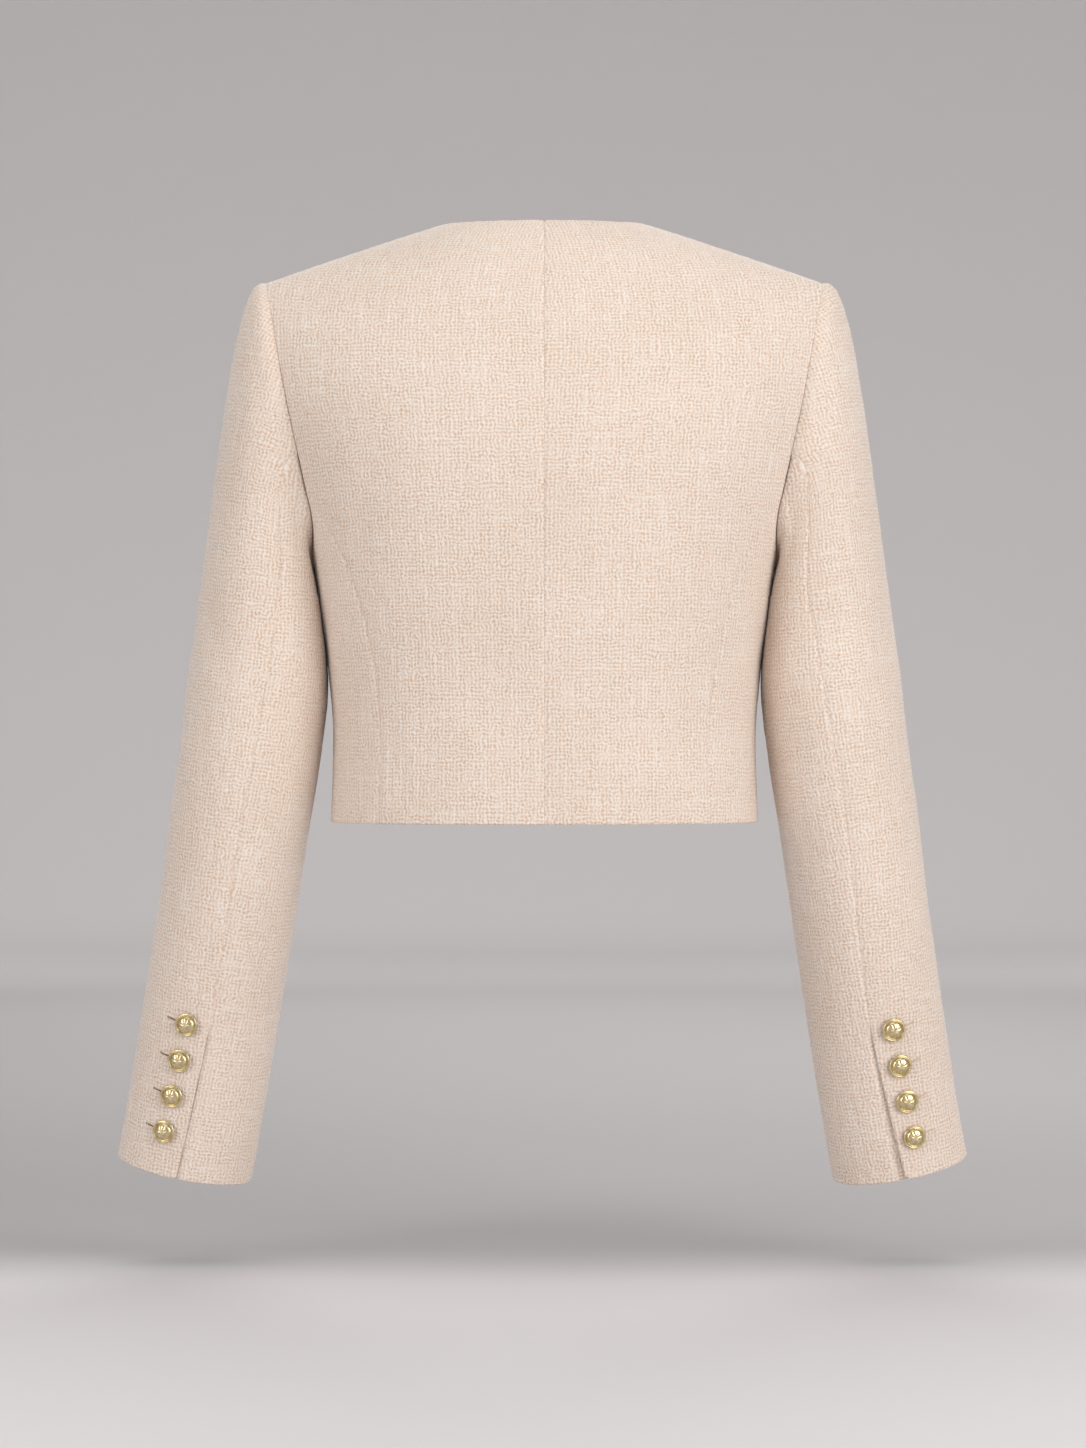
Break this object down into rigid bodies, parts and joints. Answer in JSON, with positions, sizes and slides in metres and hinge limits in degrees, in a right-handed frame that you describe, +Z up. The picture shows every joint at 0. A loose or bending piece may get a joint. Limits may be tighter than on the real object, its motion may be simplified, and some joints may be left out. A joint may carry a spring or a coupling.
{
  "type": "cropped tweed jacket",
  "caption": "Collarless cropped jacket in cream boucle tweed with long two-piece sleeves, vented cuffs and domed metal cuff buttons, filled out as if worn",
  "frame": {"origin": "the shoulders mount: on the centre plane and the line of the shoulder seams, 5 mm below the points where the seams meet the neck edge", "axes": "+Z up along the body, +Y to the wearer's back, -Y to the wearer's front, +X to the wearer's left"},
  "size_m": [0.589, 0.2432, 0.6582],
  "materials": {
    "tweed": "matte",
    "buttons": "satin"
  },
  "bodies": {
    "root": {"back_left": "tweed", "back_right": "tweed", "side_left": "tweed", "side_right": "tweed", "front_left": "tweed", "front_right": "tweed", "top_sleeve_left": "tweed", "top_sleeve_right": "tweed", "under_sleeve_left": "tweed", "under_sleeve_right": "tweed", "cuff_button_left_1": "buttons", "cuff_button_left_2": "buttons", "cuff_button_left_3": "buttons", "cuff_button_left_4": "buttons", "cuff_button_right_1": "buttons", "cuff_button_right_2": "buttons", "cuff_button_right_3": "buttons", "cuff_button_right_4": "buttons"}
  },
  "joints": []
}
